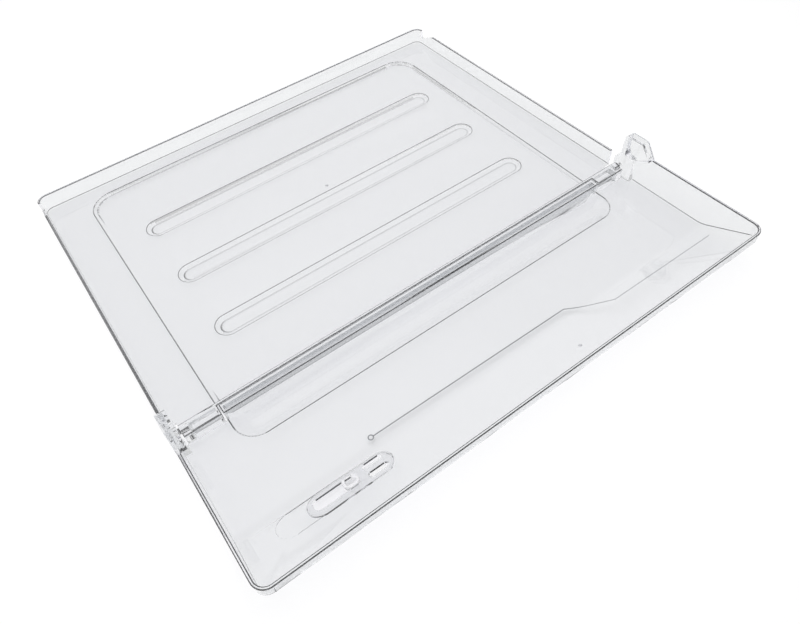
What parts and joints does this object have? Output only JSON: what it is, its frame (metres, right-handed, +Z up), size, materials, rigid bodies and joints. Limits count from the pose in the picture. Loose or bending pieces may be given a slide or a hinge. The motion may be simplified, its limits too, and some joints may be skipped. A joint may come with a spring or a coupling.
{
  "type": "refrigerator fruit tray",
  "caption": "Clear moulded refrigerator fruit tray with a ribbed sunk floor, low walls, a hinged front flap with a ramp and ears, and a sliding humidity vent.",
  "frame": {"origin": "middle of the part's outline, on the surface that it lies on", "axes": "+X to the right along the hinge, +Y from the front lip to the back wall, +Z up from the surface"},
  "size_m": [0.4826, 0.4844, 0.0537],
  "materials": {
    "clear_polystyrene": "clear injection-moulded crystal polystyrene with polished faces"
  },
  "bodies": {
    "tray": {"tray": "clear_polystyrene"},
    "flap": {"front_flap": "clear_polystyrene"},
    "slider": {"humidity_slider": "clear_polystyrene"}
  },
  "joints": [
    {"name": "flap_hinge", "type": "hinge", "parent": "tray", "child": "flap", "pos_m": [0, -0.092, 0.0164], "axis": [-1, 0, 0], "range_deg": [0, 65]},
    {"name": "humidity_slide", "type": "slide", "parent": "flap", "child": "slider", "axis": [1, 0, 0], "range_m": [-0.0242, 0]}
  ]
}
